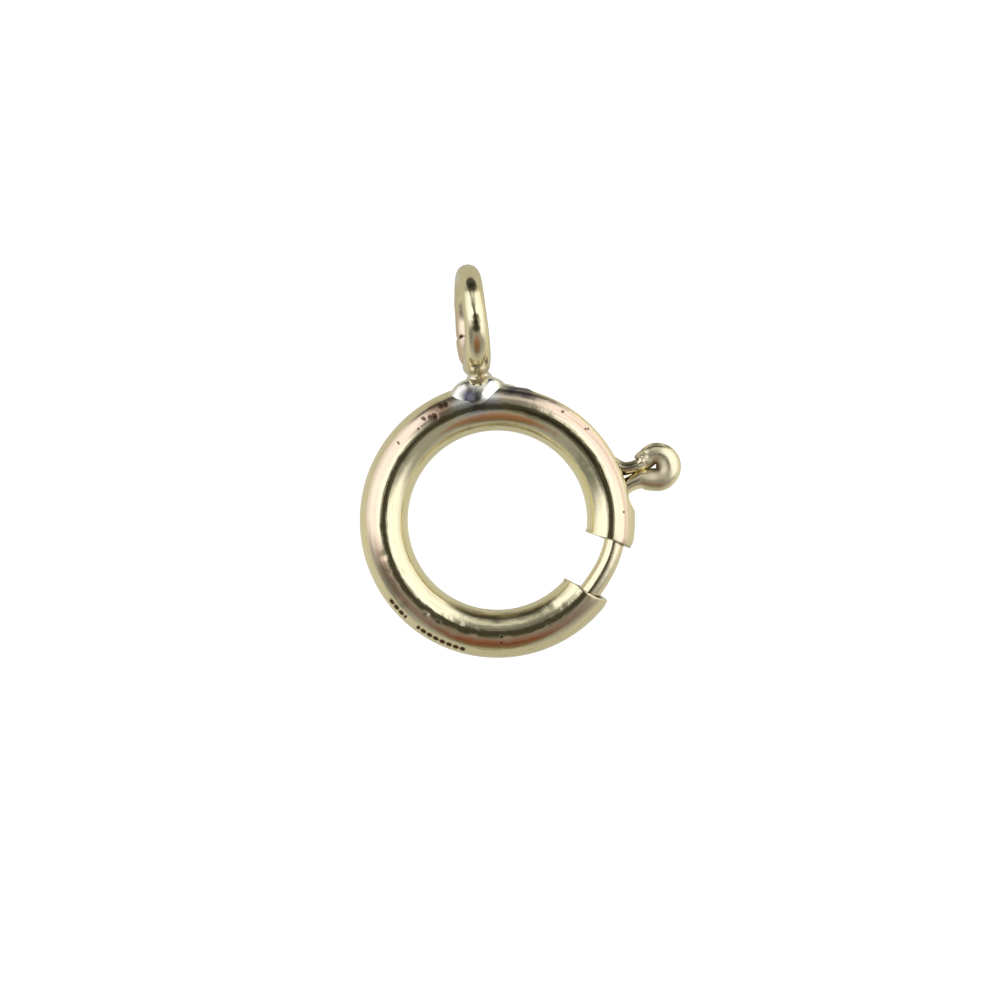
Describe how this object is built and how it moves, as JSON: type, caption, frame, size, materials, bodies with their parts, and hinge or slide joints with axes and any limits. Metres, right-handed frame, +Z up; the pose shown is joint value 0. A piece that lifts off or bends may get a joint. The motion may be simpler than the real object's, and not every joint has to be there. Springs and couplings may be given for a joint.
{
  "type": "spring ring clasp",
  "caption": "Spring ring clasp: a hollow tube ring whose sprung wire gate is drawn back by a bent-wire trigger, with a soldered loop for the end of a chain.",
  "frame": {"origin": "centre of the ring's hole, in the plane of the tube's centre line", "axes": "+Y level, from the ring towards the chain loop; +Z up from the surface that the clasp lies on; +X towards the trigger's side. The ring's own axis leans 5.9 degrees from +Z towards -Y, because the clasp lies on its loop"},
  "size_m": [0.0095, 0.0114, 0.0032],
  "materials": {
    "ring_metal": "polished pale gold, with fine pits, small dents and brown tarnish",
    "tongue_metal": "polished pale gold wire, with drawing marks",
    "spring_wire": "bright drawn spring wire"
  },
  "bodies": {
    "ring": {"ring_and_loop": "ring_metal", "coil_spring": "spring_wire"},
    "tongue": {"tongue_and_trigger": "tongue_metal"}
  },
  "joints": [
    {"name": "tongue_draw", "type": "hinge", "parent": "ring", "child": "tongue", "pos_m": [0, 0, 0], "axis": [0, -0.1034, 0.9946], "range_deg": [0, 37], "stiffness_Nm_per_rad": 0.006, "deforming": ["coil_spring"]}
  ]
}
